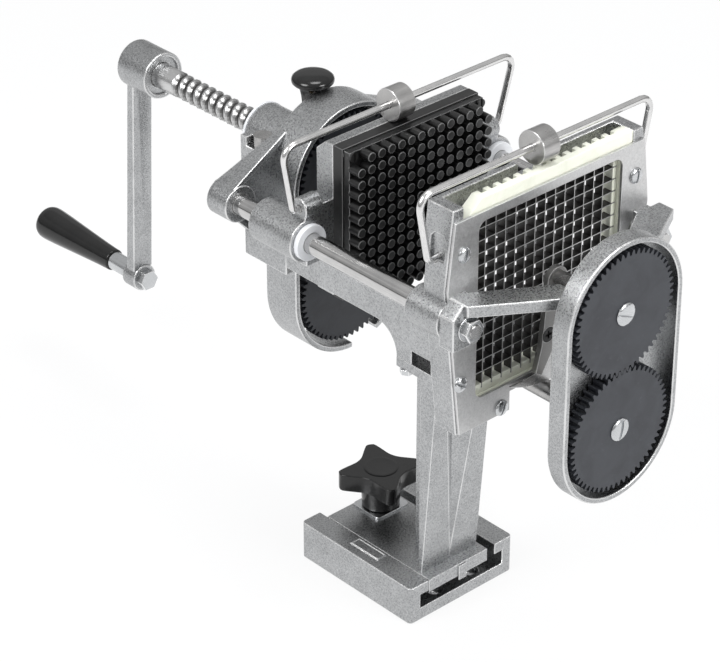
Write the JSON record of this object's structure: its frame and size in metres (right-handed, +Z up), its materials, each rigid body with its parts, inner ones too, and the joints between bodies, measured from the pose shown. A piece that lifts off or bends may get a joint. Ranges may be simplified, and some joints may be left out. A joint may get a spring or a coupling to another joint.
{
  "type": "french fry cutter",
  "caption": "Crank-driven french fry cutter: a screw pushes a pin plate to a blade grid, and gears turn a knife in front of it, on a T-slot foot.",
  "frame": {"origin": "centre of the base's underside", "axes": "+X to the right seen from the cutting grid, +Y back towards the crank, +Z up"},
  "size_m": [0.1898, 0.5562, 0.3568],
  "materials": {
    "cast_aluminium": "as-cast aluminium, fine grain, bright worn edges",
    "sheet_steel": "brushed stainless sheet",
    "polished_steel": "ground and polished stainless steel",
    "zinc_steel": "bright zinc plate",
    "blade_steel": "ground blade steel",
    "dark_steel": "black oxide",
    "white_nylon": "natural nylon",
    "black_plastic": "gloss black phenolic",
    "black_nylon": "satin black nylon",
    "gear_plastic": "satin dark grey acetal",
    "bronze": "bearing bronze"
  },
  "bodies": {
    "base": {"base": "cast_aluminium"},
    "stand": {"column": "cast_aluminium", "frame_bolts": "zinc_steel", "side_wall_left": "cast_aluminium", "side_wall_right": "cast_aluminium", "grid_head": "cast_aluminium", "front_plate": "sheet_steel", "plate_screws": "zinc_steel", "grid_cassette": "white_nylon", "grid_blades": "blade_steel", "guide_rod_left": "polished_steel", "guide_rod_right": "polished_steel", "rod_plugs": "black_plastic", "rod_washers": "zinc_steel", "rod_nuts": "zinc_steel", "rear_casing": "cast_aluminium", "nut_washer": "white_nylon", "nut_pin": "polished_steel", "front_casing": "cast_aluminium", "shaft_bushes": "bronze", "clamp_washer": "sheet_steel"},
    "clamp": {"star_knob": "black_plastic", "knob_stud": "polished_steel"},
    "release": {"release_knob": "black_plastic", "half_nut": "bronze"},
    "pusher": {"carriage": "cast_aluminium", "carriage_bushes": "white_nylon", "pusher_plate": "black_nylon", "pin_plate": "black_nylon", "pusher_screws": "dark_steel"},
    "crank": {"feed_screw": "polished_steel", "screw_retainer": "polished_steel", "crank_arm": "cast_aluminium", "crank_bolt": "zinc_steel", "grip_collar": "polished_steel"},
    "handle": {"grip": "black_plastic"},
    "rear_latch": {"rear_bail": "polished_steel"},
    "rear_latch_roller": {"rear_roller": "polished_steel"},
    "front_latch": {"front_bail": "polished_steel"},
    "front_latch_roller": {"front_roller": "polished_steel"},
    "screw_gear": {"rear_upper_gear": "gear_plastic", "drive_key": "polished_steel"},
    "lay_gears": {"rear_lower_gear": "gear_plastic", "lay_shaft": "polished_steel", "front_lower_gear": "gear_plastic", "lower_gear_screw": "zinc_steel"},
    "cutter": {"front_upper_gear": "gear_plastic", "upper_gear_screw": "zinc_steel", "knife_shaft": "polished_steel", "knife_arm": "blade_steel", "knife_blade": "blade_steel", "knife_screw": "dark_steel"}
  },
  "joints": [
    {"name": "column_slide", "type": "slide", "parent": "base", "child": "stand", "axis": [0, 1, 0], "range_m": [-0.02, 0.006]},
    {"name": "knob_turn", "type": "hinge", "parent": "stand", "child": "clamp", "pos_m": [0.006, 0.031, 0.04], "axis": [0, 0, 1], "range_deg": [-720, 0]},
    {"name": "release_lift", "type": "slide", "parent": "stand", "child": "release", "axis": [0, 0, 1], "range_m": [0, 0.004], "stiffness_N_per_m": 1500, "springref_m": -0.003},
    {"name": "carriage_feed", "type": "slide", "parent": "stand", "child": "pusher", "axis": [0, 1, 0], "range_m": [-0.092, 0.008]},
    {"name": "crank_turn", "type": "hinge", "parent": "pusher", "child": "crank", "pos_m": [0, 0.25, 0.2659], "axis": [0, 1, 0], "range_deg": [-4392, 360]},
    {"name": "grip_spin", "type": "hinge", "parent": "crank", "child": "handle", "pos_m": [0, 0.33, 0.1009], "axis": [0, 1, 0], "continuous": true},
    {"name": "rear_latch_swing", "type": "hinge", "parent": "pusher", "child": "rear_latch", "pos_m": [0, 0.0106, 0.2868], "axis": [1, 0, 0], "range_deg": [-28, 0]},
    {"name": "rear_roller_spin", "type": "hinge", "parent": "rear_latch", "child": "rear_latch_roller", "pos_m": [0, 0.00796, 0.33262], "axis": [1, 0, 0], "continuous": true},
    {"name": "front_latch_swing", "type": "hinge", "parent": "stand", "child": "front_latch", "pos_m": [0, -0.1055, 0.3025], "axis": [1, 0, 0], "range_deg": [-30, 0]},
    {"name": "front_roller_spin", "type": "hinge", "parent": "front_latch", "child": "front_latch_roller", "pos_m": [0, -0.10604, 0.3463], "axis": [1, 0, 0], "continuous": true},
    {"name": "screw_gear_spin", "type": "hinge", "parent": "stand", "child": "screw_gear", "pos_m": [0, 0.058, 0.2659], "axis": [0, 1, 0], "range_deg": [-4400, 370]},
    {"name": "lay_spin", "type": "hinge", "parent": "stand", "child": "lay_gears", "pos_m": [0, 0, 0.18806], "axis": [0, 1, 0], "range_deg": [-370, 4400]},
    {"name": "knife_spin", "type": "hinge", "parent": "stand", "child": "cutter", "pos_m": [0, -0.15, 0.2659], "axis": [0, 1, 0], "range_deg": [-4400, 370]}
  ],
  "couplings": [
    {"joint": "carriage_feed", "follows": "crank_turn", "m_per_rad": 0.0011937},
    {"joint": "screw_gear_spin", "follows": "crank_turn", "ratio": 1},
    {"joint": "lay_spin", "follows": "crank_turn", "ratio": -1},
    {"joint": "knife_spin", "follows": "crank_turn", "ratio": 1}
  ]
}
